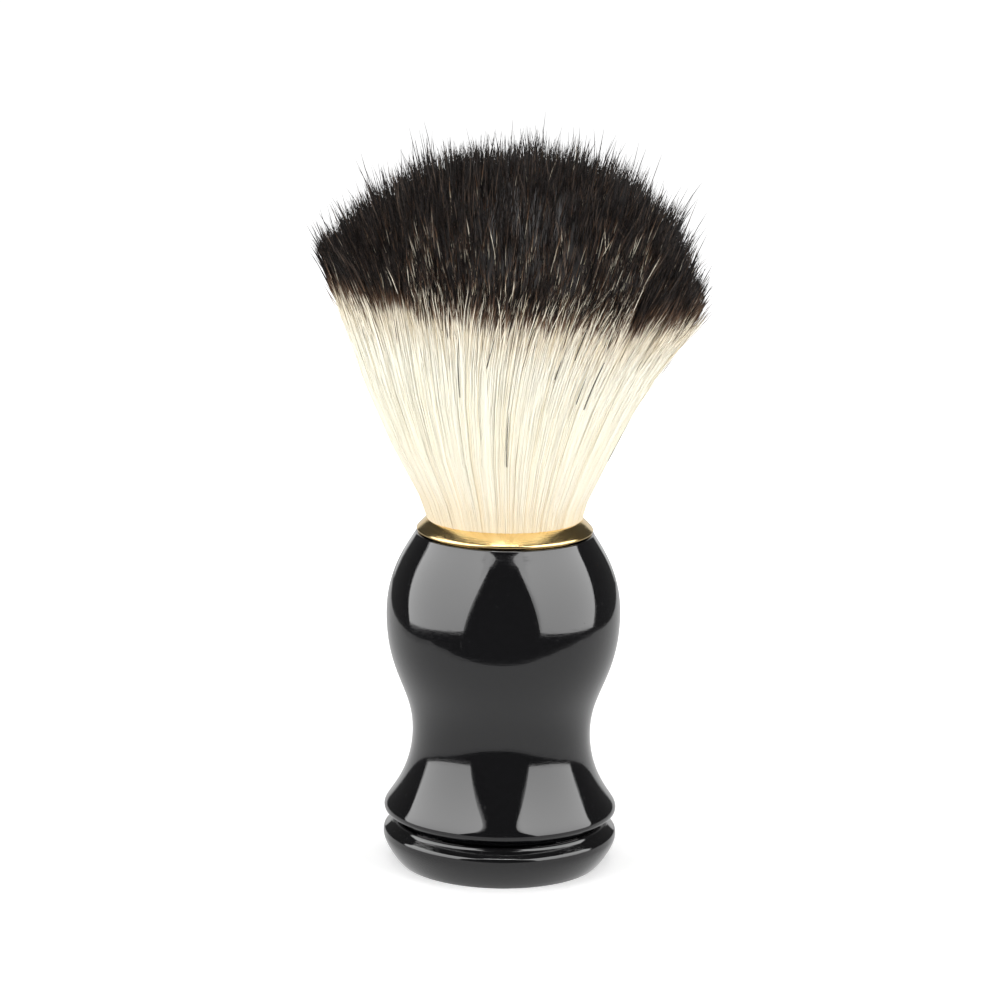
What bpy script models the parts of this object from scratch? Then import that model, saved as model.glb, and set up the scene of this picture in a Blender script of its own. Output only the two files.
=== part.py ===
"""Shaving brush: a turned resin handle with a plugged foot and a steel weight, a plated
collar, and a glued knot of fine nylon bristles.

Units are millimetres in the constants and metres in the scene. +Z is up, and the origin is
the centre of the flat underside of the foot. Every turned outline is a list of (radius,
height) points that runs down the outer side of the piece, top to bottom.
"""

import math

import bpy

MM = 0.001

# Clearance left between two pieces that touch.
FIT_GAP = 0.3

# Foot plate. The rim is the widest line of its side.
FOOT_UNDER_R = 14.75
FOOT_RIM_R = 17.1
FOOT_RIM_Z = 4.1
FOOT_H = 6.15
FOOT_EDGE = 0.15
GROOVE_R = 14.75
GROOVE_LAND = 1.1
SPIGOT_L = 3.9

# Handle body: section lengths, from its underside up.
LIP_H = 1.95
FLARE_L = 11.25
SWELL_L = 17.85
CROWN_L = 11.8
LIP_R = 17.05
WAIST_R = 13.05
BULGE_R = 17.05
SHOULDER_WALL = 1.0
SHOULDER_ANGLE = math.radians(27)

# How far each curve of the body keeps straight on from its end.
LIP_PULL = 0.9
WAIST_PULL_DOWN = 7.0
WAIST_PULL_UP = 6.6
BULGE_PULL_DOWN = 9.4
BULGE_PULL_UP = 6.5
SHOULDER_PULL = 1.6

# Steel weight and the floor left between its pocket and the knot socket.
WEIGHT_R = 8.0
WEIGHT_EDGE = 0.6
WEIGHT_HEADROOM = 0.6
WEB = 6.0

# Collar: a convex flange on the shoulder, and a skirt down into the socket.
KNOT_R = 11.0
COLLAR_H = 2.05
COLLAR_RIM = 0.35
SKIRT_WALL = 0.6
SKIRT_L = 6.6

# Knot: cup, glue, binding and bristles.
CUP_WALL = 0.6
CUP_FLOOR = 1.0
CUP_MARGIN = 1.8
ADHESIVE_T = 0.7
ADHESIVE_MARGIN = 0.6
PLUG_H = 5.2
BINDING_H = 1.8
BINDING_T = 0.6
BINDING_RISE = 1.6

# Bristle fan above the collar, and its tilt to the handle.
FAN_RIM_RISE = 36.6
FAN_RIM_R = 28.3
FAN_DOME_H = 19.0
FAN_NECK_PULL = 9.0
FAN_RIM_PULL = 3.0
FAN_DOME_PULL = 13.5
FAN_LEAN = math.radians(2.2)
FAN_CROWN_TILT = math.radians(7.0)

STEPS_FINE = 48
STEPS_INNER = 32
CURVE_POINTS = 8

# Levels and radii that follow from the sizes above.
BODY_Z = FOOT_H + FIT_GAP
WAIST_Z = BODY_Z + LIP_H + FLARE_L
BULGE_Z = WAIST_Z + SWELL_L
SHOULDER_Z = BULGE_Z + CROWN_L
COLLAR_Z = SHOULDER_Z + FIT_GAP
MOUTH_Z = COLLAR_Z + COLLAR_H

SKIRT_R = KNOT_R + SKIRT_WALL
SOCKET_R = SKIRT_R + FIT_GAP
SHOULDER_R = SOCKET_R + SHOULDER_WALL
SKIRT_Z = COLLAR_Z - SKIRT_L
SOCKET_STEP_Z = SKIRT_Z - FIT_GAP

CUP_R = KNOT_R - FIT_GAP
CUP_BORE_R = CUP_R - CUP_WALL
ROOT_R = CUP_BORE_R - FIT_GAP
CUP_TOP_Z = SKIRT_Z + SKIRT_L / 2
CUP_FILL = PLUG_H + BINDING_RISE + BINDING_H + 2 * FIT_GAP
CUP_Z = CUP_TOP_Z - CUP_MARGIN - CUP_FILL - CUP_FLOOR
SOCKET_Z = CUP_Z - ADHESIVE_T - 2 * FIT_GAP
SOCKET_BORE_R = CUP_R + FIT_GAP

PLUG_Z = CUP_Z + CUP_FLOOR + FIT_GAP
ROOT_Z = PLUG_Z + PLUG_H + FIT_GAP
ROOT_TOP_Z = MOUTH_Z - FIT_GAP
BINDING_Z = ROOT_Z + BINDING_RISE
NECK_R = ROOT_R - BINDING_T - FIT_GAP

POCKET_R = WEIGHT_R + FIT_GAP
POCKET_TOP_Z = SOCKET_Z - WEB
SPIGOT_TOP_Z = FOOT_H + SPIGOT_L
WEIGHT_Z = SPIGOT_TOP_Z + FIT_GAP
WEIGHT_TOP_Z = POCKET_TOP_Z - WEIGHT_HEADROOM


def clear_scene():
    for obj in list(bpy.data.objects):
        bpy.data.objects.remove(obj)


def new_collection(name):
    collection = bpy.data.collections.new(name)
    bpy.context.scene.collection.children.link(collection)
    return collection


def new_material(name, colour, roughness, metallic=0.0, coat=0.0):
    material = bpy.data.materials.new(name)
    material.use_nodes = True
    shader = material.node_tree.nodes["Principled BSDF"]
    shader.inputs["Base Color"].default_value = (*colour, 1.0)
    shader.inputs["Roughness"].default_value = roughness
    shader.inputs["Metallic"].default_value = metallic
    shader.inputs["Coat Weight"].default_value = coat
    return material


def curve(start, start_pull, end_pull, end, count=CURVE_POINTS):
    """Points of a cubic curve from start to end, without its first point."""
    points = []
    for step in range(1, count + 1):
        t = step / count
        a = (1 - t) ** 3
        b = 3 * t * (1 - t) ** 2
        c = 3 * t * t * (1 - t)
        d = t**3
        points.append(
            tuple(
                a * start[i] + b * start_pull[i] + c * end_pull[i] + d * end[i]
                for i in range(2)
            )
        )
    return points


def turned_mesh(name, outline, steps):
    """The mesh that an outline sweeps round the Z axis, in metres."""
    mesh = bpy.data.meshes.new(name + "_outline")
    points = [(radius * MM, 0.0, height * MM) for radius, height in outline]
    edges = [(i, i + 1) for i in range(len(points) - 1)]
    if outline[0][0] > 0:
        edges.append((len(points) - 1, 0))
    mesh.from_pydata(points, edges, [])
    sweep = bpy.data.objects.new(name + "_outline", mesh)
    bpy.context.scene.collection.objects.link(sweep)
    screw = sweep.modifiers.new("Turn", "SCREW")
    screw.axis = "Z"
    screw.steps = steps
    screw.render_steps = steps
    screw.use_merge_vertices = True
    screw.merge_threshold = 0.00001
    bpy.context.view_layer.update()
    graph = bpy.context.evaluated_depsgraph_get()
    turned = bpy.data.meshes.new_from_object(sweep.evaluated_get(graph))
    turned.name = name
    bpy.data.objects.remove(sweep)
    return turned


def add_piece(name, mesh, material, parent, collection):
    """Puts a mesh in the collection under its parent, with round faces shaded smooth."""
    mesh.materials.clear()
    mesh.materials.append(material)
    mesh.shade_smooth()
    mesh.set_sharp_from_angle(angle=math.radians(32))
    obj = bpy.data.objects.new(name, mesh)
    collection.objects.link(obj)
    obj.parent = parent
    return obj


def body_outline():
    """Crown, waist and flared lip outside; knot socket above and weight pocket below."""
    shoulder = (SHOULDER_R, SHOULDER_Z)
    bulge = (BULGE_R, BULGE_Z)
    waist = (WAIST_R, WAIST_Z)
    lip = (LIP_R, BODY_Z + LIP_H)
    groove = (GROOVE_R + GROOVE_LAND, BODY_Z + GROOVE_LAND / 2)
    crown_pull = (
        SHOULDER_R + SHOULDER_PULL * math.sin(SHOULDER_ANGLE),
        SHOULDER_Z - SHOULDER_PULL * math.cos(SHOULDER_ANGLE),
    )
    points = [
        (0, SOCKET_Z),
        (SOCKET_BORE_R, SOCKET_Z),
        (SOCKET_BORE_R, SOCKET_STEP_Z),
        (SOCKET_R, SOCKET_STEP_Z),
        (SOCKET_R, SHOULDER_Z),
        shoulder,
    ]
    points += curve(shoulder, crown_pull, (BULGE_R, BULGE_Z + BULGE_PULL_UP), bulge)
    points += curve(
        bulge,
        (BULGE_R, BULGE_Z - BULGE_PULL_DOWN),
        (WAIST_R, WAIST_Z + WAIST_PULL_UP),
        waist,
    )
    points += curve(
        waist,
        (WAIST_R, WAIST_Z - WAIST_PULL_DOWN),
        (LIP_R, lip[1] + LIP_PULL),
        lip,
    )
    under = (groove[0] + GROOVE_LAND / 2, groove[1] + GROOVE_LAND / 3)
    points += curve(lip, (LIP_R, lip[1] - LIP_H / 4), under, groove, 4)
    points += [
        (GROOVE_R, BODY_Z),
        (POCKET_R, BODY_Z),
        (POCKET_R, POCKET_TOP_Z),
        (0, POCKET_TOP_Z),
    ]
    return points


def foot_outline():
    """Spigot, land, sloping side of the groove, rim and the side that draws in below it."""
    groove = (GROOVE_R + GROOVE_LAND, FOOT_H - GROOVE_LAND / 2)
    rim = (FOOT_RIM_R, FOOT_RIM_Z)
    edge = (FOOT_UNDER_R + FOOT_EDGE, FOOT_EDGE)
    drawn_in = (FOOT_RIM_R - FOOT_UNDER_R) * 0.42
    points = [
        (0, SPIGOT_TOP_Z),
        (WEIGHT_R - WEIGHT_EDGE, SPIGOT_TOP_Z),
        (WEIGHT_R, SPIGOT_TOP_Z - WEIGHT_EDGE),
        (WEIGHT_R, FOOT_H),
        (GROOVE_R, FOOT_H),
        groove,
    ]
    over = (groove[0] + GROOVE_LAND / 2, groove[1] - GROOVE_LAND / 3)
    points += curve(groove, over, (FOOT_RIM_R, FOOT_RIM_Z + GROOVE_LAND / 2), rim, 4)
    points += curve(
        rim,
        (FOOT_RIM_R, FOOT_RIM_Z * 0.78),
        (FOOT_UNDER_R + drawn_in, FOOT_RIM_Z * 0.23),
        edge,
        6,
    )
    points += [(FOOT_UNDER_R, 0), (0, 0)]
    return points


def weight_outline():
    return [
        (0, WEIGHT_TOP_Z),
        (WEIGHT_R - WEIGHT_EDGE, WEIGHT_TOP_Z),
        (WEIGHT_R, WEIGHT_TOP_Z - WEIGHT_EDGE),
        (WEIGHT_R, WEIGHT_Z + WEIGHT_EDGE),
        (WEIGHT_R - WEIGHT_EDGE, WEIGHT_Z),
        (0, WEIGHT_Z),
    ]


def collar_outline():
    """Convex flange that rises to the mouth, its flat underside, and the skirt."""
    mouth_edge = (KNOT_R + 0.15, MOUTH_Z)
    rim = (SHOULDER_R, COLLAR_Z + COLLAR_RIM)
    points = [mouth_edge]
    points += curve(
        mouth_edge,
        (KNOT_R + SKIRT_WALL * 0.7, MOUTH_Z - COLLAR_H * 0.1),
        (SHOULDER_R - SKIRT_WALL * 1.3, COLLAR_Z + COLLAR_H * 0.48),
        rim,
        6,
    )
    points += [
        (SHOULDER_R - 0.1, COLLAR_Z),
        (SKIRT_R, COLLAR_Z),
        (SKIRT_R, SKIRT_Z),
        (KNOT_R, SKIRT_Z),
        (KNOT_R, MOUTH_Z - 0.15),
    ]
    return points


def cup_outline():
    floor_z = CUP_Z + CUP_FLOOR
    return [
        (0, floor_z),
        (CUP_BORE_R, floor_z),
        (CUP_BORE_R, CUP_TOP_Z),
        (CUP_R, CUP_TOP_Z),
        (CUP_R, CUP_Z),
        (0, CUP_Z),
    ]


def disc_outline(radius, low, high, edge):
    return [
        (0, high),
        (radius - edge, high),
        (radius, high - edge),
        (radius, low + edge),
        (radius - edge, low),
        (0, low),
    ]


def binding_outline():
    """Band that fills the necked part of the root bundle, with a rounded outer side."""
    middle = BINDING_Z + BINDING_H / 2
    inner = NECK_R + FIT_GAP
    points = [(inner, BINDING_Z + BINDING_H)]
    for step in range(7):
        angle = math.pi / 2 - math.pi * step / 6
        points.append(
            (
                ROOT_R - BINDING_T / 2 + BINDING_T / 2 * math.cos(angle),
                middle + (BINDING_H / 2 - 0.01) * math.sin(angle),
            )
        )
    points.append((inner, BINDING_Z))
    return points


def roots_outline():
    """Packed bristles from the glue up to the mouth, necked where they are bound."""
    return [
        (0, ROOT_TOP_Z),
        (KNOT_R - FIT_GAP, ROOT_TOP_Z),
        (KNOT_R - FIT_GAP, CUP_TOP_Z + CUP_WALL + FIT_GAP),
        (ROOT_R, CUP_TOP_Z),
        (ROOT_R, BINDING_Z + BINDING_H + FIT_GAP),
        (NECK_R, BINDING_Z + BINDING_H + FIT_GAP),
        (NECK_R, BINDING_Z - FIT_GAP),
        (ROOT_R, BINDING_Z - FIT_GAP),
        (ROOT_R, ROOT_Z),
        (0, ROOT_Z),
    ]


def fan_outline():
    """Dome, rounded rim and the flare down to the mouth, measured from the mouth."""
    apex = (0, FAN_RIM_RISE + FAN_DOME_H)
    rim = (FAN_RIM_R, FAN_RIM_RISE)
    neck = (KNOT_R - FIT_GAP, 0)
    slope = math.atan2(FAN_RIM_R - neck[0], FAN_RIM_RISE)
    below_rim = (
        FAN_RIM_R - FAN_RIM_PULL * math.sin(slope),
        FAN_RIM_RISE - FAN_RIM_PULL * math.cos(slope),
    )
    points = [apex]
    points += curve(
        apex,
        (FAN_DOME_PULL, apex[1]),
        (FAN_RIM_R + FAN_RIM_PULL / 2, FAN_RIM_RISE + FAN_DOME_H / 2),
        rim,
    )
    points += curve(
        rim,
        below_rim,
        (neck[0] + FAN_NECK_PULL * math.sin(slope / 2), FAN_NECK_PULL),
        neck,
        6,
    )
    points.append((0, 0))
    return points


def lean_fan(mesh):
    """Leans the fan towards +X and slopes its crown down the same way."""
    top = (FAN_RIM_RISE + FAN_DOME_H) * MM
    for vertex in mesh.vertices:
        x, y, z = vertex.co
        share = max(0.0, z / top) ** 2
        drop = x * math.tan(FAN_CROWN_TILT) * share
        vertex.co = (x + z * math.tan(FAN_LEAN), y, z - drop)


def add_empty(name, height, parent, collection):
    empty = bpy.data.objects.new(name, None)
    empty.empty_display_size = 10 * MM
    collection.objects.link(empty)
    empty.parent = parent
    empty.location = (0, 0, height * MM)
    return empty


def build_handle(brush, collection):
    resin = new_material("black_resin", (0.012, 0.012, 0.013), 0.12, coat=0.5)
    foot_resin = new_material("black_foot_resin", (0.013, 0.013, 0.014), 0.14, coat=0.5)
    steel = new_material("plain_steel", (0.42, 0.42, 0.43), 0.45, 1.0)
    gold = new_material("gold_plate", (0.86, 0.60, 0.22), 0.14, 1.0)
    turned = (
        ("handle_body", body_outline(), resin, STEPS_FINE),
        ("base_foot", foot_outline(), foot_resin, STEPS_FINE),
        ("handle_weight", weight_outline(), steel, STEPS_INNER),
        ("collar_ring", collar_outline(), gold, STEPS_FINE),
    )
    for name, outline, material, steps in turned:
        mesh = turned_mesh(name, outline, steps)
        add_piece(name, mesh, material, brush, collection)


def build_knot(brush, collection):
    cup_plastic = new_material("cup_plastic", (0.72, 0.70, 0.64), 0.5)
    glue = new_material("amber_glue", (0.62, 0.42, 0.16), 0.3)
    bond = new_material("clear_glue", (0.75, 0.72, 0.6), 0.35)
    thread = new_material("waxed_thread", (0.7, 0.64, 0.5), 0.8)
    nylon = new_material("cream_nylon", (0.84, 0.78, 0.62), 0.55)
    margin = ADHESIVE_MARGIN
    bed_z = SOCKET_Z + FIT_GAP
    bed = disc_outline(CUP_R - margin, bed_z, bed_z + ADHESIVE_T, ADHESIVE_T / 4)
    plug = disc_outline(ROOT_R, PLUG_Z, PLUG_Z + PLUG_H, 0.3)
    turned = (
        ("knot_cup", cup_outline(), cup_plastic),
        ("socket_adhesive", bed, bond),
        ("root_glue_plug", plug, glue),
        ("binding_thread", binding_outline(), thread),
        ("bristle_roots", roots_outline(), nylon),
    )
    for name, outline, material in turned:
        mesh = turned_mesh(name, outline, STEPS_INNER)
        add_piece(name, mesh, material, brush, collection)


def build_fan(flex, collection):
    tipped = new_material("tipped_nylon", (0.80, 0.74, 0.60), 0.6)
    mesh = turned_mesh("bristle_fan", fan_outline(), STEPS_INNER)
    lean_fan(mesh)
    add_piece("bristle_fan", mesh, tipped, flex, collection)


def main():
    clear_scene()
    collection = new_collection("shaving_brush")
    brush = add_empty("brush_origin", 0, None, collection)
    flex = add_empty("bristle_flex_axis", MOUTH_Z, brush, collection)
    build_handle(brush, collection)
    build_knot(brush, collection)
    build_fan(flex, collection)


main()
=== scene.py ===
"""Looks of the shaving brush: fine turned surfaces for handle, foot and collar, separate
bristles for the fan, and a small studio.

Shapes and places are in millimetres, and MM turns them into Blender's metres. Texture scales
are per metre, but for those on the colour map, and bump distances are in metres. Colours are
linear.
"""

import math

import bpy
import numpy as np
from mathutils import Matrix, Vector


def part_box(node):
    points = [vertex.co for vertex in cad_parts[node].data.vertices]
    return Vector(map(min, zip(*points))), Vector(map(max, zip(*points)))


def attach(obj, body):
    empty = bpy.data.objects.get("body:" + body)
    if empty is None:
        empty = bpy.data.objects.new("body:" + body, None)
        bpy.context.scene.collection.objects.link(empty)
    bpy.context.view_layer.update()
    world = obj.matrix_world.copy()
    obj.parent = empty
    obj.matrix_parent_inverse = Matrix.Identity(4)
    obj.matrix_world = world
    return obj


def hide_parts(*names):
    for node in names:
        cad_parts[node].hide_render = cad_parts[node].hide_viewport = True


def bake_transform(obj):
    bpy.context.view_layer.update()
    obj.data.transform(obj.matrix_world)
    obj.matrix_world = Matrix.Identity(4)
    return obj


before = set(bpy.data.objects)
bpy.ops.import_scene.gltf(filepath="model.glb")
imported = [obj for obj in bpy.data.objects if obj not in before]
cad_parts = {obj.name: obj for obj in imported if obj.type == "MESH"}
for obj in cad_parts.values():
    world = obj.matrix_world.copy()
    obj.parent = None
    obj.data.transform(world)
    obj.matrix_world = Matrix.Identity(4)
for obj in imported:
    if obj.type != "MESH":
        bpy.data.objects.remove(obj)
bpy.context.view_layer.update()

MM = 0.001
RNG = np.random.default_rng(22)


# ---------------------------------------------------------------- heights given by the CAD
def top_of(node):
    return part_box(node)[1][2] / MM


def bottom_of(node):
    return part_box(node)[0][2] / MM


MOUTH_Z = top_of("collar_ring")
SHOULDER_Z = top_of("handle_body")
BODY_Z = bottom_of("handle_body")

# ---------------------------------------------------------------- sizes of the turned surfaces
# They follow the CAD's profiles closely, with finer edges and a bead at the groove.
SHOULDER_R = 12.9
SHOULDER_LIFT = 0.15
SHOULDER_SLOPE = math.radians(28)
SHOULDER_PULL = 1.6
BULGE_R = 17.07
BULGE_PULL_UP = 6.5
BULGE_PULL_DOWN = 9.4
WAIST_R = 13.04
WAIST_PULL_UP = 6.6
WAIST_PULL_DOWN = 7.0
LIP_R = 17.08
LIP_PULL = 0.9
LIP_Z = BODY_Z + 1.95
WAIST_Z = LIP_Z + 11.25
BULGE_Z = WAIST_Z + 17.85

COLLAR_FOOT_Z = 49.72
KNOT_R = 11.0
SKIRT_WALL = 0.6
SKIRT_SHOWN = 3.0

FOOT_H = 6.15
FOOT_RIM_R = 17.12
FOOT_RIM_Z = 4.1
FOOT_UNDER_R = 14.75
GROOVE_R = 14.75
SPIGOT_R = 7.9
POCKET_R = 8.4
SPIGOT_SHOWN = 2.0

TURNED_STEPS = 160
SHARP_ANGLE = math.radians(40)


# ---------------------------------------------------------------- mesh helpers
def link(obj):
    bpy.context.scene.collection.objects.link(obj)
    return obj


def curve(start, start_pull, end_pull, end, count=28):
    """Points of a cubic Bezier curve, without its start."""
    t = np.linspace(0, 1, count + 1)[1:, None]
    start, start_pull, end_pull, end = map(np.array, (start, start_pull, end_pull, end))
    return (
        (1 - t) ** 3 * start
        + 3 * t * (1 - t) ** 2 * start_pull
        + 3 * t * t * (1 - t) * end_pull
        + t**3 * end
    )


def evened(points, step):
    """The outline with points at even distances along it."""
    points = np.array(points, float)
    along = np.concatenate([[0], np.cumsum(np.linalg.norm(np.diff(points, axis=0), axis=1))])
    count = max(2, int(round(along[-1] / step)))
    at = np.linspace(0, along[-1], count + 1)
    return np.stack([np.interp(at, along, points[:, i]) for i in range(2)], 1)


def eased(points, rounds):
    """The outline with its curvature evened out; its ends stay."""
    points = points.copy()
    for _ in range(rounds):
        points[1:-1] += 0.25 * (points[:-2] - 2 * points[1:-1] + points[2:])
    return points


def turned(name, outline, steps):
    """A surface swept round Z from (radius, height) points, in their order."""
    outline = np.array(outline, float)
    angle = np.arange(steps) * 2 * math.pi / steps
    x = outline[:, None, 0] * np.cos(angle)
    y = outline[:, None, 0] * np.sin(angle)
    z = np.repeat(outline[:, 1:2], steps, axis=1)
    points = np.stack([x, y, z], 2).reshape(-1, 3) * MM
    row = np.arange(len(outline) - 1)[:, None]
    step = np.arange(steps)[None, :]
    a = row * steps + step
    b = row * steps + (step + 1) % steps
    quads = np.stack([a, a + steps, b + steps, b], 2).reshape(-1, 4)
    return mesh_object(name, points, quads)


def mesh_object(name, points, quads, uv=None):
    """A smooth object from points in metres, four corners per face, and a UV per corner."""
    mesh = bpy.data.meshes.new(name)
    mesh.vertices.add(len(points))
    mesh.vertices.foreach_set("co", np.asarray(points, np.float32).ravel())
    mesh.loops.add(quads.size)
    mesh.loops.foreach_set("vertex_index", quads.astype(np.int32).ravel())
    mesh.polygons.add(len(quads))
    mesh.polygons.foreach_set("loop_start", np.arange(len(quads), dtype=np.int32) * 4)
    mesh.polygons.foreach_set("use_smooth", np.ones(len(quads), bool))
    if uv is not None:
        layer = mesh.uv_layers.new(name="OFBake")
        layer.data.foreach_set("uv", np.asarray(uv, np.float32).ravel())
    mesh.update(calc_edges=True)
    return link(bpy.data.objects.new(name, mesh))


# ---------------------------------------------------------------- material helpers
class Nodes:
    """Short calls for building one material's node tree."""

    def __init__(self, name):
        self.material = bpy.data.materials.new(name)
        self.material.use_nodes = True
        self.tree = self.material.node_tree
        self.shader = self.tree.nodes["Principled BSDF"]

    def add(self, kind, **values):
        node = self.tree.nodes.new(kind)
        for key, value in values.items():
            setattr(node, key, value)
        return node

    def link(self, out, into):
        self.tree.links.new(out, into)

    def set(self, **values):
        """Values on the shader's own sockets; _ stands for the space in a socket's name."""
        for key, value in values.items():
            self.shader.inputs[key.replace("_", " ")].default_value = value

    def math(self, operation, a, b=None):
        node = self.add("ShaderNodeMath", operation=operation)
        for socket, value in zip(node.inputs, (a, b)):
            if isinstance(value, (int, float)):
                socket.default_value = value
            elif value is not None:
                self.link(value, socket)
        return node.outputs[0]

    def scaled(self, value, by, plus):
        """value * by + plus"""
        out = self.math("MULTIPLY_ADD", value, by)
        out.node.inputs[2].default_value = plus
        return out

    def mix(self, factor, a, b):
        node = self.add("ShaderNodeMix", data_type="RGBA")
        sockets = (node.inputs[0], node.inputs[6], node.inputs[7])
        for socket, value in zip(sockets, (factor, a, b)):
            if isinstance(value, (int, float)):
                socket.default_value = value
            elif isinstance(value, tuple):
                socket.default_value = (*value, 1.0)
            else:
                self.link(value, socket)
        return node.outputs[2]

    def ramp(self, factor, stops):
        """A colour ramp from (position, grey or colour) stops."""
        node = self.add("ShaderNodeValToRGB")
        elements = node.color_ramp.elements
        while len(elements) < len(stops):
            elements.new(0.5)
        for element, (place, colour) in zip(elements, stops):
            element.position = place
            colour = colour if isinstance(colour, tuple) else (colour,) * 3
            element.color = (*colour, 1.0)
        self.link(factor, node.inputs[0])
        return node.outputs[0]

    def noise(self, vector, scale, detail=2.0, roughness=0.5):
        node = self.add("ShaderNodeTexNoise")
        node.inputs["Scale"].default_value = scale
        node.inputs["Detail"].default_value = detail
        node.inputs["Roughness"].default_value = roughness
        self.link(vector, node.inputs["Vector"])
        return node.outputs[0]

    def stretched(self, vector, scale):
        node = self.add("ShaderNodeMapping")
        node.inputs["Scale"].default_value = scale
        self.link(vector, node.inputs["Vector"])
        return node.outputs[0]

    def bump(self, height, strength, distance):
        node = self.add("ShaderNodeBump")
        node.inputs["Strength"].default_value = strength
        node.inputs["Distance"].default_value = distance
        self.link(height, node.inputs["Height"])
        self.link(node.outputs[0], self.shader.inputs["Normal"])


def black_resin():
    """Polished black resin: faint moulding waves, hairline wiping marks and a few dust specks."""
    n = Nodes("black_resin")
    place = n.add("ShaderNodeTexCoord").outputs["Object"]
    n.set(IOR=1.5, Coat_Weight=0.9, Coat_Roughness=0.03, Coat_IOR=1.5)
    wave = n.noise(place, 60.0, 1.0)
    marks = n.noise(n.stretched(place, (1.0, 1.0, 9.0)), 700.0, 3.0, 0.6)
    specks = n.ramp(n.noise(place, 2600.0, 0.0), [(0.0, 0.0), (0.80, 0.0), (0.84, 1.0)])
    rough = n.math("ADD", n.scaled(marks, 0.07, 0.03), n.math("MULTIPLY", specks, 0.2))
    n.link(rough, n.shader.inputs["Roughness"])
    tone = n.mix(marks, (0.0018, 0.0018, 0.0022), (0.0042, 0.0042, 0.0048))
    speckled = n.mix(n.math("MULTIPLY", specks, 0.2), tone, (0.03, 0.03, 0.03))
    n.link(speckled, n.shader.inputs["Base Color"])
    n.bump(n.math("ADD", wave, n.math("MULTIPLY", marks, 0.012)), 0.5, 0.0012)
    return n.material


def gold_plate():
    """Polished plating: turning marks round the ring, small dents and darker patches."""
    n = Nodes("gold_plate")
    place = n.add("ShaderNodeTexCoord").outputs["Object"]
    n.set(Metallic=1.0)
    turning = n.noise(n.stretched(place, (1.0, 1.0, 26.0)), 420.0, 3.0, 0.6)
    patch = n.noise(place, 240.0, 3.0, 0.6)
    patched = n.ramp(patch, [(0.35, 0.0), (0.7, 1.0)])
    tone = n.mix(patched, (0.97, 0.75, 0.38), (0.88, 0.62, 0.26))
    n.link(tone, n.shader.inputs["Base Color"])
    n.link(n.scaled(turning, 0.16, 0.06), n.shader.inputs["Roughness"])
    n.bump(n.math("ADD", turning, n.math("MULTIPLY", patch, 1.5)), 0.25, 0.00006)
    return n.material


def bristle_nylon():
    """Colour along a bristle from its root to its dyed tip, with a tint of its own for each.

    V of the UV map is the height above the dye line, and U picks one of TINTS tints.
    """
    n = Nodes("bristle_nylon")
    uv = n.add("ShaderNodeUVMap", uv_map="OFBake").outputs[0]
    split = n.add("ShaderNodeSeparateXYZ")
    n.link(uv, split.inputs[0])
    u, v = split.outputs[0], split.outputs[1]
    cell = n.math("FLOOR", n.math("MULTIPLY", u, float(TINTS)))
    tint = n.add("ShaderNodeTexWhiteNoise", noise_dimensions="1D")
    n.link(cell, tint.inputs["W"])
    tint = tint.outputs[0]
    pale = n.ramp(
        v,
        [
            (dye_place(-34), (0.84, 0.75, 0.58)),
            (dye_place(-29), (0.87, 0.82, 0.69)),
            (dye_place(-20), (0.89, 0.855, 0.72)),
            (dye_place(-8), (0.89, 0.865, 0.76)),
            (dye_place(-3), (0.83, 0.76, 0.62)),
        ],
    )
    warm = n.mix(1.0, pale, (0.95, 0.89, 0.77))
    warm.node.blend_type = "MULTIPLY"
    pale = n.mix(n.ramp(tint, [(0.0, 0.0), (0.72, 0.08), (1.0, 0.8)]), pale, warm)
    dyed = n.ramp(
        tint,
        [
            (0.0, (0.005, 0.0042, 0.004)),
            (0.55, (0.011, 0.0085, 0.0078)),
            (0.85, (0.026, 0.019, 0.016)),
            (1.0, (0.13, 0.092, 0.068)),
        ],
    )
    brown = n.ramp(tint, [(0.0, (0.07, 0.034, 0.020)), (1.0, (0.20, 0.12, 0.07))])
    to_brown = n.ramp(v, [(dye_place(-1.7), 0.0), (dye_place(-0.2), 1.0)])
    to_black = n.ramp(v, [(dye_place(0.0), 0.0), (dye_place(2.2), 1.0)])
    colour = n.mix(to_black, n.mix(to_brown, pale, brown), dyed)
    n.link(colour, n.shader.inputs["Base Color"])
    n.set(Specular_IOR_Level=0.32)
    n.link(n.scaled(tint, 0.16, 0.38), n.shader.inputs["Roughness"])
    grain = n.noise(uv, 900.0, 1.0)
    n.bump(grain, 0.15, 0.00003)
    return n.material


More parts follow.
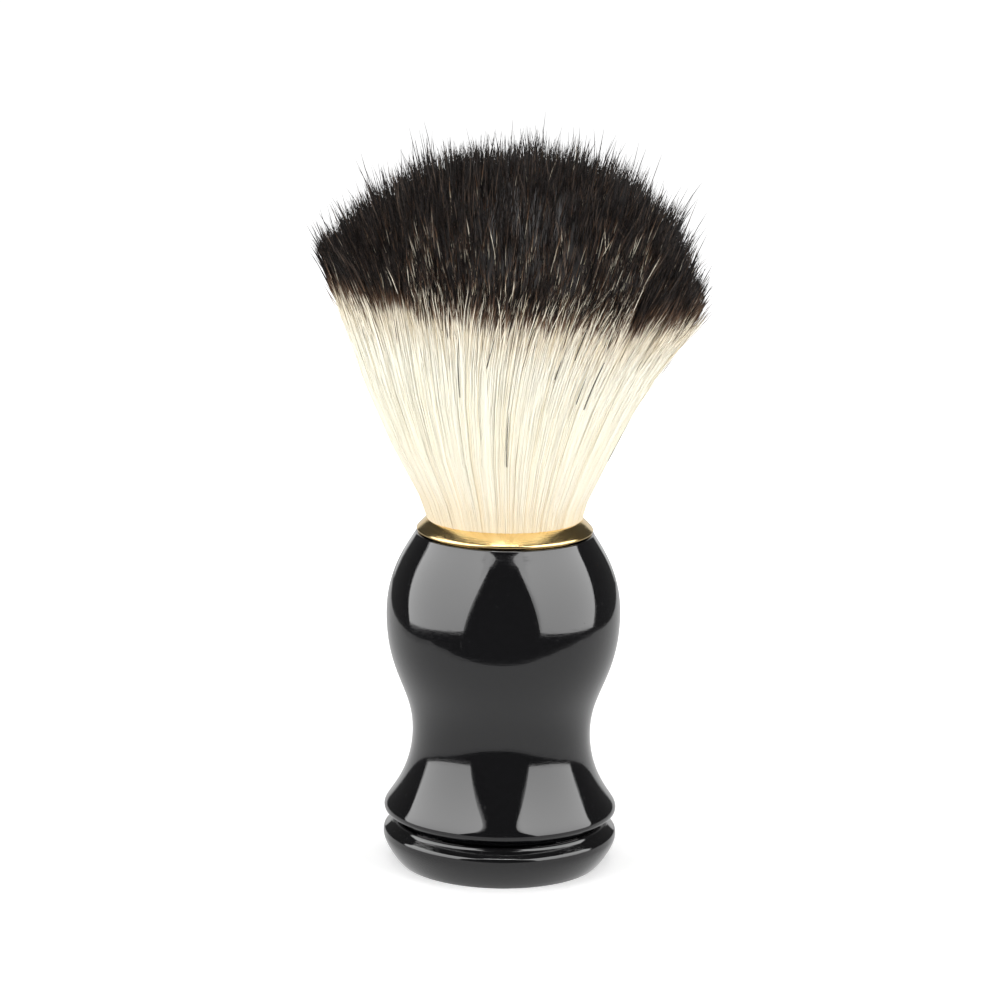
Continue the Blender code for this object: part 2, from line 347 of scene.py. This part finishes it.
# ---------------------------------------------------------------- turned pieces
def body_outline():
    """Shoulder, bulge, waist and flared lip; open where the foot and the collar cover it."""
    shoulder = (SHOULDER_R, SHOULDER_Z + SHOULDER_LIFT)
    pull = (
        SHOULDER_R + SHOULDER_PULL * math.sin(SHOULDER_SLOPE),
        SHOULDER_Z - SHOULDER_PULL * math.cos(SHOULDER_SLOPE),
    )
    bulge = (BULGE_R, BULGE_Z)
    above_bulge = (BULGE_R, BULGE_Z + BULGE_PULL_UP)
    below_bulge = (BULGE_R, BULGE_Z - BULGE_PULL_DOWN)
    waist = (WAIST_R, WAIST_Z)
    above_waist = (WAIST_R, WAIST_Z + WAIST_PULL_UP)
    below_waist = (WAIST_R, WAIST_Z - WAIST_PULL_DOWN)
    lip = (LIP_R, LIP_Z)
    lip_under = (16.84, 7.62)
    groove_top = (15.1, 7.1)
    side = [shoulder]
    side += list(curve(shoulder, pull, above_bulge, bulge))
    side += list(curve(bulge, below_bulge, above_waist, waist))
    side += list(curve(waist, below_waist, (LIP_R, LIP_Z + LIP_PULL), lip))
    side += list(curve(lip, (LIP_R + 0.01, LIP_Z - 0.35), (17.02, 7.78), lip_under, 10))
    side += list(curve(lip_under, (16.5, 7.36), (15.4, 7.5), groove_top, 12))
    side += list(curve(groove_top, (14.95, 6.9), (14.9, 6.7), (14.9, BODY_Z), 8))
    side = eased(evened(side, 0.12), 10)
    inner = SHOULDER_R - 0.85
    top = SHOULDER_Z + SHOULDER_LIFT
    edge = [(inner, SHOULDER_Z - SKIRT_SHOWN), (inner, top), (SHOULDER_R - 0.12, top)]
    under = [(14.2, BODY_Z), (POCKET_R, BODY_Z), (POCKET_R, BODY_Z + SPIGOT_SHOWN)]
    return edge + list(side[1:]) + under


def foot_outline():
    """A thin bead at the groove, a straight chamfer, a crisp rim and a rounded underside."""
    groove_foot, bead = (14.9, 6.25), (15.86, 6.18)
    chamfer_top, chamfer_foot = (16.05, 5.88), (16.95, 5.05)
    rim_top, rim = (17.07, 4.78), (FOOT_RIM_R, FOOT_RIM_Z)
    under = (FOOT_UNDER_R + 0.15, 0.15)
    side = [(14.9, FOOT_H + 0.1)]
    side += list(curve(groove_foot, (15.5, 6.3), (15.80, 6.32), bead, 14))
    side += list(curve(bead, (15.89, 6.08), (15.95, 5.97), chamfer_top, 8))
    side += list(curve(chamfer_top, (16.35, 5.60), (16.65, 5.33), chamfer_foot, 8))
    side += list(curve(chamfer_foot, (17.01, 4.99), (17.05, 4.90), rim_top, 10))
    side += list(curve(rim_top, (17.10, 4.6), (FOOT_RIM_R, 4.4), rim, 12))
    side += list(curve(rim, (17.06, 3.1), (15.74, 0.94), under, 20))
    side.append((FOOT_UNDER_R, 0.0))
    side = eased(evened(side, 0.06), 3)
    top = [(SPIGOT_R, FOOT_H + SPIGOT_SHOWN), (SPIGOT_R, FOOT_H), (GROOVE_R - 0.6, FOOT_H)]
    bottom = [(FOOT_UNDER_R - 0.5, 0.0), (FOOT_UNDER_R - 4.0, 0.0), (0.02, 0.0)]
    return top + list(side) + bottom


def collar_outline():
    """A flange that rounds off from the mouth to a thin rim, and the top of its skirt."""
    mouth = (KNOT_R + 0.12, MOUTH_Z)
    rim = (SHOULDER_R - 0.08, COLLAR_FOOT_Z + 0.3)
    mouth_pull = (KNOT_R + 0.34, MOUTH_Z - 0.1)
    rim_pull = (SHOULDER_R - 0.66, COLLAR_FOOT_Z + 0.98)
    side = [mouth]
    side += list(curve(mouth, mouth_pull, rim_pull, rim, 24))
    side += [(SHOULDER_R - 0.04, COLLAR_FOOT_Z + 0.14), (SHOULDER_R - 0.12, COLLAR_FOOT_Z)]
    side = eased(evened(side, 0.07), 3)
    inside = [(KNOT_R, MOUTH_Z - SKIRT_SHOWN), (KNOT_R, MOUTH_Z - 0.3)]
    inside += [(KNOT_R + 0.04, MOUTH_Z - 0.08)]
    under = [(SHOULDER_R - 0.6, COLLAR_FOOT_Z), (KNOT_R + SKIRT_WALL, COLLAR_FOOT_Z)]
    return inside + list(side) + under + [(KNOT_R + SKIRT_WALL, MOUTH_Z - SKIRT_SHOWN)]


def build_turned():
    resin, gold = black_resin(), gold_plate()
    made = (
        ("handle_body_surface", body_outline(), resin, "handle_body", "black_resin"),
        ("base_foot_surface", foot_outline(), resin, "base_foot", "black_resin"),
        ("collar_ring_surface", collar_outline(), gold, "collar_ring", "gold_plate"),
    )
    for name, outline, material, node, slot in made:
        obj = turned(name, outline, TURNED_STEPS)
        obj.data.materials.append(material)
        obj.data.set_sharp_from_angle(angle=SHARP_ANGLE)
        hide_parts(node)
        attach(obj, "handle")


# ---------------------------------------------------------------- bristles
# A bristle starts at a place in the unit disc of the bundle and rises to the crown over it.
# Of the strands, SHELL lie in the outer layer. They gather in TUFTS, and the tufts in CLUMPS.
# Each strand has one of TINTS tints, a column of the colour map each.
STRANDS = 30000
SHELL = 9000
SHELL_INSIDE = 0.95
TUFTS = 3400
CLUMPS = 150
LOOSE = 16
PIECES = 9
TINTS = 384
STRAND_R = 0.068
LOOSE_R = 0.066

# Places of a strand's rings, as shares of its height, and how it gathers, bends and tapers.
ROWS = np.array([0.0, 0.10, 0.30, 0.52, 0.68, 0.80, 0.89, 0.955, 1.0])
ROOT_DIP = 1.2
JITTER = 0.045
GATHER_L = 6.0
BEND_L = 13.0
BEND = 6.5
TAPER_L = 1.6
TIP_SHARE = 0.16

# The fan: radius at the mouth, spread per height, a slight swelling low down, and its leans.
ROOT_R = 10.85
SPREAD = 0.49
SWELL = 0.45
SWELL_H = 9.0
LEAN = 0.045
OUTER_LEAN = 0.01
OUTER_LEAN_RISE = 0.0009
LEAN_BOW = 1.2
LEAN_BOW_H = 37.0
RIGHT_RIM_H = 29.0
RIGHT_RIM_TURN = 0.33

# The crown over the bundle.
CROWN_H = 53.2
RIM_DROP = 17.9
RIM_TILT = 2.6
RIM_LIFT = 0.9
RIGHT_RIM_DROP = 1.8

# The dye: length of the dyed tip at the rim, and how much longer it is in the middle and
# shorter at the right. The core is dyed above CORE_DYE_H.
DYED_L = 4.6
DYED_INSIDE = 2.0
DYED_RIGHT = 2.9
CORE_DYE_H = 33.3
DYE_BELOW = 52.0
DYE_SPAN = 70.0

# The closed core under the shell: reach in the disc, depth under the crown, rings and sides.
CORE_REACH = 0.92
CORE_DEPTH = 3.0
CORE_WALL_RINGS = 40
CORE_CAP_RINGS = 14
CORE_STEPS = 360


def dye_place(above):
    """Height on the colour map of a place this far, in millimetres, above the dye line."""
    return (above + DYE_BELOW) / DYE_SPAN


def spiral(count):
    """Evenly spread points in the unit disc."""
    i = np.arange(count) + 0.5
    radius, angle = np.sqrt(i / count), i * math.pi * (3 - math.sqrt(5))
    return np.stack([radius * np.cos(angle), radius * np.sin(angle)], 1)


def nearest(points, centres, batch=2000):
    """Index of the nearest centre to each point."""
    found = np.empty(len(points), int)
    for low in range(0, len(points), batch):
        part = points[low : low + batch]
        found[low : low + batch] = ((part[:, None] - centres[None]) ** 2).sum(2).argmin(1)
    return found


def crown_height(q):
    """Height of the crown above the mouth over a place in the unit disc of the bundle."""
    radius = np.linalg.norm(q, axis=1)
    right = np.clip(q[:, 0], 0, 1) ** 1.5
    rim = (RIM_LIFT - RIGHT_RIM_DROP * right) * radius**8
    return CROWN_H - RIM_DROP * radius**2 + rim - RIM_TILT * q[:, 0] * radius


def fan_place(disc, height):
    """Point of the fan for a place in the disc and a height above the mouth."""
    above = np.maximum(height, 0)
    width = ROOT_R + SPREAD * (np.sqrt(above**2 + 1.0) - 1.0)
    width = width + SWELL * above / SWELL_H * np.exp(1 - above / SWELL_H)
    outer = (disc**2).sum(-1)
    right = np.clip(disc[..., 0], 0, 1)
    rise = OUTER_LEAN_RISE * height * np.abs(height) - OUTER_LEAN * height
    lean = LEAN * height + outer * rise
    lean = lean - LEAN_BOW * outer * np.sin(math.pi * np.clip(height / LEAN_BOW_H, 0, 1))
    lean = lean - RIGHT_RIM_TURN * np.maximum(height - RIGHT_RIM_H, 0) * right**3
    across, deep = disc[..., 0] * width + lean, disc[..., 1] * width
    return np.stack([across, deep, height + MOUTH_Z], -1)


def strand_paths(q, tip_height, tuft, pull, tilt, wander):
    """Centre lines: strands x rows x 3. Strands gather in tufts and bend near their tips."""
    s = ROWS[None, :, None]
    to_tip = (tip_height[:, None] * (1 - ROWS))[..., None]
    gather = np.clip(1 - to_tip / GATHER_L, 0, 1) ** 1.3
    disc = q[:, None] + (tuft - q)[:, None] * (pull[:, None, None] * gather)
    disc = disc + wander[:, None, :2] * s**2 + wander[:, None, 2:4] * (s**3 - 0.6 * s)
    height = tip_height[:, None] * ROWS - ROOT_DIP * (1 - ROWS) ** 8
    points = fan_place(disc, height)
    bend = np.clip(1 - to_tip / BEND_L, 0, 1) ** 2 * BEND
    points[..., :2] += tilt[:, None] * bend
    points[..., :2] += RNG.normal(0, JITTER, points[..., :2].shape) * (s > 0.4)
    return points


def strand_mesh(name, paths, radius, dye, tint):
    """Three-sided tubes round the paths, tapered to a point, with the colour map's UV."""
    count, rows = paths.shape[:2]
    along = np.gradient(paths, axis=1)
    along /= np.linalg.norm(along, axis=2, keepdims=True)
    side = np.cross(along, np.array([0.31, -0.95, 0.02]))
    side /= np.linalg.norm(side, axis=2, keepdims=True)
    other = np.cross(along, side)
    steps = np.linalg.norm(np.diff(paths, axis=1), axis=2)
    length = np.concatenate([np.zeros((count, 1)), np.cumsum(steps, axis=1)], 1)
    to_tip = length[:, -1:] - length
    taper = TIP_SHARE + (1 - TIP_SHARE) * (1 - np.exp(-to_tip / TAPER_L))
    thick = radius[:, None] * taper
    turn = RNG.random(count)[:, None] * 2 * math.pi
    corners = []
    for k in range(3):
        angle = turn + k * 2 * math.pi / 3
        offset = np.cos(angle)[..., None] * side + np.sin(angle)[..., None] * other
        corners.append(paths + offset * thick[..., None])
    points = np.stack(corners, 2).reshape(-1, 3) * MM
    strand = np.arange(count)[:, None, None]
    row = np.arange(rows - 1)[None, :, None]
    k = np.arange(3)[None, None, :]
    base = strand * rows * 3 + row * 3
    a, b = base + k, base + (k + 1) % 3
    quads = np.stack([a, b, b + 3, a + 3], 3).reshape(-1, 4)
    # Each side of a strand has a strip of its own, a quarter of the tint's column wide.
    v = dye_place(dye[:, None] - to_tip)
    low = np.broadcast_to(v[:, :-1, None], (count, rows - 1, 3))
    high = np.broadcast_to(v[:, 1:, None], (count, rows - 1, 3))
    left = (tint[:, None, None] + 0.12 + 0.25 * k) / TINTS
    left = np.broadcast_to(left, low.shape)
    right = left + 0.25 / TINTS
    uv = np.stack([left, low, right, low, right, high, left, high], 3).reshape(-1, 2)
    return mesh_object(name, points, quads, uv)


def bristle_piece(obj, material):
    """The piece gets its material, and its placement goes into its mesh."""
    obj.data.materials.append(material)
    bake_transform(obj)


def bundle_places():
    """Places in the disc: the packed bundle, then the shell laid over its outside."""
    angle = RNG.uniform(0, 2 * math.pi, SHELL)
    reach = RNG.uniform(SHELL_INSIDE, 1.0, SHELL)
    shell = np.stack([np.cos(angle), np.sin(angle)], 1) * reach[:, None]
    packed = spiral(STRANDS - SHELL) + RNG.normal(0, 0.004, (STRANDS - SHELL, 2))
    return np.concatenate([packed, shell])


def some(share):
    """True for about this share of the strands."""
    return RNG.random(STRANDS) < share


def build_bristles():
    """The strands in nine sectors, one piece each, then the core and the loose hairs.

    Each random draw takes its turn, so the order of these lines matters.
    """
    nylon = bristle_nylon()
    q = bundle_places()
    radius_of = np.linalg.norm(q, axis=1)
    small = spiral(TUFTS) + RNG.normal(0, 0.006, (TUFTS, 2))
    large = spiral(CLUMPS)
    in_small = nearest(q, small)
    in_large = nearest(small, large)[in_small]
    tuft = small[in_small] + 0.12 * (large[in_large] - small[in_small])
    pulled = some(0.88)
    strong, weak = RNG.uniform(0.8, 1.0, STRANDS), RNG.uniform(0, 0.5, STRANDS)
    pull = np.where(pulled, strong, weak)
    tilt = RNG.normal(0, 0.085, (STRANDS, 2)) + RNG.normal(0, 0.11, (TUFTS, 2))[in_small]
    tilt += RNG.normal(0, 0.05, (CLUMPS, 2))[in_large]
    wander = RNG.normal(0, 1.0, (STRANDS, 4)) * 0.007

    # Tips scatter about the crown, less so at the rim; a few fall short or stick out.
    level = crown_height(q)
    calm = 1 - 0.4 * radius_of**4
    height = level + RNG.normal(0, 0.5, STRANDS) + calm * RNG.normal(0, 1.25, TUFTS)[in_small]
    height += calm * RNG.normal(0, 0.5, CLUMPS)[in_large]
    height -= some(0.18) * RNG.uniform(0.5, 5.0, STRANDS)
    height += some(0.06) * RNG.uniform(0.5, 3.4, STRANDS)
    radius = STRAND_R * RNG.uniform(0.85, 1.12, STRANDS)

    # Length of the dyed tip. Strands with little dye make the pale streaks at the front.
    to_right = np.clip(q[:, 0], 0, 1) * radius_of**6
    dye = DYED_L + DYED_INSIDE * (1 - radius_of**6) - DYED_RIGHT * to_right
    dye += 0.85 * np.maximum(height - level, -4.0) * radius_of**2
    dye += RNG.normal(0, 0.75, STRANDS) + RNG.normal(0, 0.35, TUFTS)[in_small]
    dye += some(0.05) * RNG.uniform(1.0, 4.5, STRANDS)
    streaked = (radius_of > 0.68) & (q[:, 1] < -0.5) & (np.abs(q[:, 0]) < 0.6)
    dye -= some(np.where(streaked, 0.30, 0.02)) * RNG.uniform(1.0, 6.0, STRANDS)
    tint = RNG.integers(0, TINTS, STRANDS)

    paths = strand_paths(q, height, tuft, pull, tilt, wander)
    turn = np.arctan2(q[:, 1], q[:, 0]) / (2 * math.pi) + 0.5
    piece = (turn * PIECES).astype(int) % PIECES
    for k in range(PIECES):
        mine = piece == k
        name = f"bristles_{k + 1}"
        obj = strand_mesh(name, paths[mine], radius[mine], dye[mine], tint[mine])
        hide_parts("bristle_fan")
        bristle_piece(obj, nylon)
    build_core(nylon)
    build_loose(nylon)


def build_core(nylon):
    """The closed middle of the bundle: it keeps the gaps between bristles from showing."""
    steps = CORE_STEPS
    angle = np.arange(steps) * 2 * math.pi / steps
    around = np.stack([np.cos(angle), np.sin(angle)], 1)
    reach = CORE_REACH + 0.012 * (RNG.random(steps) - 0.5)
    rim = crown_height(around * reach[:, None]) - CORE_DEPTH
    rows, colour = [], []
    for t in np.linspace(0, 1, CORE_WALL_RINGS):
        height = t * rim - 1.0 * (1 - t)
        rows.append(fan_place(around * reach[:, None], height))
        colour.append(height - CORE_DYE_H)
    for t in np.linspace(0.93, 0.02, CORE_CAP_RINGS):
        disc = around * (reach * t)[:, None]
        height = crown_height(disc) - CORE_DEPTH - 0.6 * (1 - t)
        rows.append(fan_place(disc, height))
        colour.append(np.full(steps, 7.0))
    points = np.array(rows).reshape(-1, 3) * MM
    count = len(rows)
    row, step = np.arange(count - 1)[:, None], np.arange(steps)[None]
    a, b = row * steps + step, row * steps + (step + 1) % steps
    quads = np.stack([a, b, b + steps, a + steps], 2).reshape(-1, 4)
    tint = RNG.integers(0, TINTS, steps)
    left = np.broadcast_to((tint + 0.2) / TINTS, (count - 1, steps))
    right = left + 0.6 / TINTS
    v = dye_place(np.array(colour))
    low, high = v[:-1], v[1:]
    low_next, high_next = np.roll(low, -1, 1), np.roll(high, -1, 1)
    corners = [left, low, right, low_next, right, high_next, left, high]
    uv = np.stack(corners, 2).reshape(-1, 2)
    bristle_piece(mesh_object("bristle_core", points, quads, uv), nylon)


def build_loose(nylon):
    """Short dyed hairs that have slipped down over the cream part of the fan."""
    # The first four have set places at the front.
    angle = RNG.uniform(0, 2 * math.pi, LOOSE)
    angle[:4] = np.radians([-88, -62, -108, -74])
    low = RNG.uniform(8, 27, LOOSE)
    low[:4] = (10.5, 20.0, 21.0, 24.0)
    length = RNG.uniform(4, 9, LOOSE)
    t = np.linspace(0, 1, len(ROWS))[None]
    height = low[:, None] + length[:, None] * t
    drift = angle[:, None] + RNG.normal(0, 0.012, (LOOSE, 1)) * t
    drift = drift + RNG.normal(0, 0.02, (LOOSE, 1)) * t * (1 - t)
    disc = np.stack([np.cos(drift), np.sin(drift)], 2) * 1.006
    paths = fan_place(disc, height)
    tint = RNG.integers(0, TINTS, LOOSE)
    obj = strand_mesh("loose_hairs", paths, np.full(LOOSE, LOOSE_R), length + 4.0, tint)
    bristle_piece(obj, nylon)


# ---------------------------------------------------------------- studio
WHITE = (1.0, 1.0, 1.0)
FLOOR_HALF = 2600
SKIRTING_Z = -50
REFLECTED = ("glossy",)

# Emission of the studio's cards. A softbox grows from the first strength to the second between
# the floor and SOFTBOX_TOP, in metres.
BACKDROP_GLOW = 1.0
SHEET_GLOW = 0.56
SOFTBOX_GLOW = (2.7, 3.7)
SOFTBOX_TOP = 0.26
CEILING_GLOW = 4.0
STRIP_GLOW = 9.0
REAR_GLOW = 0.72
WORLD_GLOW = 0.06

# Plan of the white sheet's front edge.
SHEET_FRONT = (
    (-140, 20), (-118, -40), (-83, -62), (-47, -70), (0, -72),
    (56, -72), (92, -62), (133, -29), (154, 22),
)  # fmt: skip
# Outline, seen from the front, of a bright card whose lower edge is the dark arch.
ARCH = (
    (-36, 92), (-30, 104), (-23, 113), (-16, 119), (-9, 125), (9, 125),
    (16, 119), (23, 113), (30, 104), (36, 92), (36, 160), (-36, 160),
)  # fmt: skip
SOFTBOX_LEFT = ((-154, -200, 2), (-190, 33, 2), (-180, 84, 160), (-72, -200, 262))
SOFTBOX_RIGHT = ((140, -200, 2), (190, 12, 2), (180, 66, 160), (72, -200, 262))

# Area lights: name, place, aim, size and power in watts.
LIGHTS = (
    ("key_left", (-330, -260, 230), (0, 0, 70), (300, 300), 1.0),
    ("key_right", (330, -260, 230), (0, 0, 70), (300, 300), 1.0),
    ("fill_front", (0, -620, 330), (0, 0, 70), (400, 300), 1.65),
    ("overhead", (0, 60, 520), (0, 0, 60), (420, 420), 1.25),
    ("rear_left", (-300, 320, 220), (0, 0, 80), (250, 250), 0.45),
    ("rear_right", (300, 320, 220), (0, 0, 80), (250, 250), 0.45),
)


def emitter(name):
    """Nodes of a material that only emits, and its emission node."""
    n = Nodes(name)
    n.tree.nodes.remove(n.shader)
    glow = n.add("ShaderNodeEmission")
    n.link(glow.outputs[0], n.tree.nodes["Material Output"].inputs["Surface"])
    return n, glow


def glow_material(name, strength):
    n, glow = emitter(name)
    glow.inputs["Color"].default_value = (*WHITE, 1.0)
    glow.inputs["Strength"].default_value = strength
    return n.material


def map_range(n, value, low, high, to_low, to_high, **kind):
    node = n.add("ShaderNodeMapRange", **kind)
    names = ("From Min", "From Max", "To Min", "To Max")
    for name, number in zip(names, (low, high, to_low, to_high)):
        node.inputs[name].default_value = number
    n.link(value, node.inputs["Value"])
    return node.outputs[0]


def softbox_material():
    """A softbox that is brighter at its top."""
    n, glow = emitter("softbox_glow")
    split = n.add("ShaderNodeSeparateXYZ")
    n.link(n.add("ShaderNodeTexCoord").outputs["Object"], split.inputs[0])
    rise = map_range(n, split.outputs[2], 0.0, SOFTBOX_TOP, *SOFTBOX_GLOW)
    n.link(rise, glow.inputs["Strength"])
    return n.material


def painted_glow_floor_material():
    """Pale floor with painted light: its glow is dim near the object and grows to full white away
    from it.
    """
    n = Nodes("studio_floor")
    n.set(Base_Color=(0.88, 0.88, 0.88, 1.0), Roughness=0.9)
    n.set(Emission_Color=(*WHITE, 1.0))
    far = n.add("ShaderNodeVectorMath", operation="LENGTH")
    n.link(n.add("ShaderNodeTexCoord").outputs["Object"], far.inputs[0])
    distance = far.outputs["Value"]
    # Painted light: the glow grows with distance from the object, so the floor is painted darker
    # close to it.
    reach = map_range(n, distance, 0.03, 0.30, 0.35, 1.0, interpolation_type="SMOOTHSTEP")
    n.link(reach, n.shader.inputs["Emission Strength"])
    return n.material


def card(name, corners, material, seen_by):
    """A flat studio card; seen_by lists the kinds of ray that meet it."""
    mesh = bpy.data.meshes.new(name)
    points = [tuple(c * MM for c in corner) for corner in corners]
    mesh.from_pydata(points, [], [tuple(range(len(corners)))])
    mesh.materials.append(material)
    obj = link(bpy.data.objects.new(name, mesh))
    for kind in ("camera", "diffuse", "glossy", "transmission", "shadow", "volume_scatter"):
        setattr(obj, "visible_" + kind, kind in seen_by)


def area_light(name, place, aim, size, power):
    """A light that lights the scene but isn't seen by the camera or in reflections."""
    light = bpy.data.lights.new(name, "AREA")
    light.shape = "RECTANGLE"
    light.size, light.size_y = size[0] * MM, size[1] * MM
    light.energy = power
    obj = link(bpy.data.objects.new(name, light))
    obj.location = [c * MM for c in place]
    toward = Vector([a - p for a, p in zip(aim, place)])
    obj.rotation_mode = "QUATERNION"
    obj.rotation_quaternion = toward.to_track_quat("-Z", "Y")
    obj.visible_camera = False
    obj.visible_glossy = False


def level_card(name, x, y_near, y_far, z, material):
    corners = [(-x, y_near, z), (x, y_near, z), (x, y_far, z), (-x, y_far, z)]
    card(name, corners, material, REFLECTED)


def build_studio():
    wide, low = FLOOR_HALF, SKIRTING_Z
    backdrop = glow_material("studio_backdrop", BACKDROP_GLOW)
    ground = [(-wide, -wide, 0), (wide, -wide, 0), (wide, wide, 0), (-wide, wide, 0)]
    card("studio_floor", ground, painted_glow_floor_material(), ("camera", "diffuse", "shadow"))
    ends = (
        ((-wide, wide), (wide, wide)),
        ((wide, -wide), (-wide, -wide)),
        ((-wide, -wide), (-wide, wide)),
        ((wide, wide), (wide, -wide)),
    )
    for i, (start, end) in enumerate(ends):
        corners = [(*start, low), (*end, low), (*end, wide), (*start, wide)]
        card(f"studio_wall_{i + 1}", corners, backdrop, ("camera",))

    sheet = glow_material("sheet_glow", SHEET_GLOW)
    plan = SHEET_FRONT + ((160, 300), (-160, 300))
    card("white_sheet", [(x, y, 0.05) for x, y in plan], sheet, REFLECTED)
    box = softbox_material()
    card("softbox_left", SOFTBOX_LEFT, box, REFLECTED)
    card("softbox_right", SOFTBOX_RIGHT, box, REFLECTED)
    level_card("ceiling_box", 90, -60, 250, 335, glow_material("ceiling_glow", CEILING_GLOW))
    card("arch_card", [(x, -70, z) for x, z in ARCH], box, REFLECTED)
    level_card("ceiling_strip", 60, -148, -112, 332, glow_material("strip_glow", STRIP_GLOW))
    rear = [(-160, 330, 0), (160, 330, 0), (160, 330, 260), (-160, 330, 260)]
    card("rear_card", rear, glow_material("rear_glow", REAR_GLOW), REFLECTED)

    world = bpy.data.worlds.new("studio")
    bpy.context.scene.world = world
    world.use_nodes = True
    background = world.node_tree.nodes["Background"]
    background.inputs["Color"].default_value = (*WHITE, 1.0)
    background.inputs["Strength"].default_value = WORLD_GLOW
    for row in LIGHTS:
        area_light(*row)


# ---------------------------------------------------------------- camera
CAMERA_ELEVATION = math.radians(11.93)
CAMERA_ROLL = math.radians(1.02)
CAMERA_DISTANCE = 500.0
CAMERA_X = -0.79
AIM_Z = 54.06


def build_camera():
    """The photo's viewpoint: in front, a little above, and turned by about a degree."""
    data = bpy.data.cameras.new("camera")
    data.lens, data.sensor_width = 124.2, 36.0
    data.clip_start, data.clip_end = 0.01, 20.0
    camera = link(bpy.data.objects.new("camera", data))
    back = -CAMERA_DISTANCE * math.cos(CAMERA_ELEVATION)
    up = AIM_Z + CAMERA_DISTANCE * math.sin(CAMERA_ELEVATION)
    camera.location = (CAMERA_X * MM, back * MM, up * MM)
    tip = Matrix.Rotation(math.pi / 2 - CAMERA_ELEVATION, 3, "X")
    turn = tip @ Matrix.Rotation(CAMERA_ROLL, 3, "Z")
    camera.rotation_mode = "QUATERNION"
    camera.rotation_quaternion = turn.to_quaternion()
    bpy.context.scene.camera = camera


# ---------------------------------------------------------------- sealed pieces
def inner_material(name, low, high, scale, rough, metallic=0.0, coat=0.0, grain=(1, 1, 1)):
    """Two tones, roughness and relief, from noise at the piece's own scale."""
    n = Nodes(name)
    n.set(Metallic=metallic, Coat_Weight=coat)
    place = n.add("ShaderNodeTexCoord").outputs["Object"]
    fine = n.noise(n.stretched(place, grain), scale, 4.0, 0.6)
    broad = n.noise(place, scale * 0.15, 2.0)
    both = n.math("MULTIPLY", n.math("ADD", fine, broad), 0.5)
    n.link(n.mix(both, low, high), n.shader.inputs["Base Color"])
    n.link(n.scaled(fine, 0.25, rough), n.shader.inputs["Roughness"])
    n.bump(fine, 0.5, 0.00008)
    return n.material


def dress_inner():
    """The sealed pieces keep their CAD shape and get materials of their own."""
    steel = inner_material(
        "steel_weight", (0.25, 0.25, 0.26), (0.5, 0.5, 0.51), 900, 0.2, 1.0, grain=(1, 1, 12)
    )
    plastic = inner_material("cup_plastic", (0.62, 0.59, 0.52), (0.76, 0.74, 0.68), 500, 0.4)
    bed = inner_material("bed_glue", (0.68, 0.62, 0.48), (0.80, 0.76, 0.66), 260, 0.25, coat=0.3)
    plug = inner_material("root_glue", (0.45, 0.25, 0.06), (0.68, 0.45, 0.18), 260, 0.1, coat=0.6)
    thread = inner_material(
        "waxed_thread", (0.52, 0.46, 0.34), (0.78, 0.72, 0.58), 1400, 0.5, grain=(1, 1, 9)
    )
    roots = inner_material(
        "packed_roots", (0.62, 0.52, 0.36), (0.90, 0.84, 0.68), 2400, 0.5, grain=(6, 6, 0.6)
    )
    made = {
        "handle_weight": steel,
        "knot_cup": plastic,
        "socket_adhesive": bed,
        "root_glue_plug": plug,
        "binding_thread": thread,
        "bristle_roots": roots,
    }
    for node, material in made.items():
        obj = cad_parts[node]
        obj.data.materials.clear()
        obj.data.materials.append(material)


build_turned()
dress_inner()
build_bristles()
build_studio()
build_camera()
bpy.context.scene.view_settings.view_transform = "Standard"
